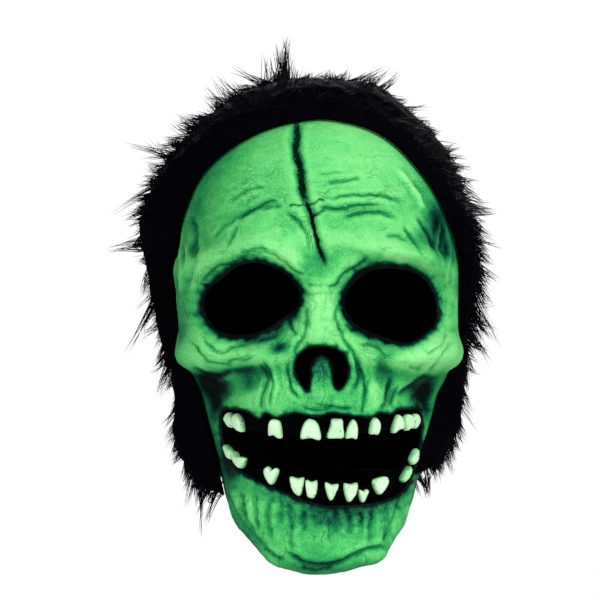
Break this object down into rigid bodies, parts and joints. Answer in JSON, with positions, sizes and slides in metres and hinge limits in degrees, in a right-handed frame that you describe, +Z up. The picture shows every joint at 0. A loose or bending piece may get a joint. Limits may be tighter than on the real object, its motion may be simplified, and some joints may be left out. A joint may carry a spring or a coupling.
{
  "type": "skull monster mask with fur wig",
  "caption": "Full-head skull mask: hollow moulded face with eye, nose and mouth openings, black gums, gapped teeth and a shaggy fur wig.",
  "frame": {"origin": "inside the crown of the hollow head, where the top of the wearer's head touches it", "axes": "+Z up, the face looks along -Y, +X towards the right of someone who looks at the face"},
  "size_m": [0.2616, 0.2616, 0.3496],
  "materials": {
    "green_latex": "satin moulded latex, bright green with near-black shading in its hollows, black inside",
    "black_latex": "satin black latex",
    "tooth_paint": "pale green paint with dark specks",
    "black_fur": "long shaggy black fur in tufts"
  },
  "bodies": {
    "root": {"latex_head": "green_latex", "upper_gum": "black_latex", "lower_gum": "black_latex", "upper_tooth_01": "tooth_paint", "upper_tooth_02": "tooth_paint", "upper_tooth_03": "tooth_paint", "upper_tooth_04": "tooth_paint", "upper_tooth_05": "tooth_paint", "upper_tooth_06": "tooth_paint", "upper_tooth_07": "tooth_paint", "upper_tooth_08": "tooth_paint", "upper_tooth_09": "tooth_paint", "upper_tooth_10": "tooth_paint", "lower_tooth_01": "tooth_paint", "lower_tooth_02": "tooth_paint", "lower_tooth_03": "tooth_paint", "lower_tooth_04": "tooth_paint", "lower_tooth_05": "tooth_paint", "lower_tooth_06": "tooth_paint", "lower_tooth_07": "tooth_paint", "lower_tooth_08": "tooth_paint", "lower_tooth_09": "tooth_paint", "lower_tooth_10": "tooth_paint", "lower_tooth_11": "tooth_paint", "fur_wig": "black_fur"}
  },
  "joints": []
}
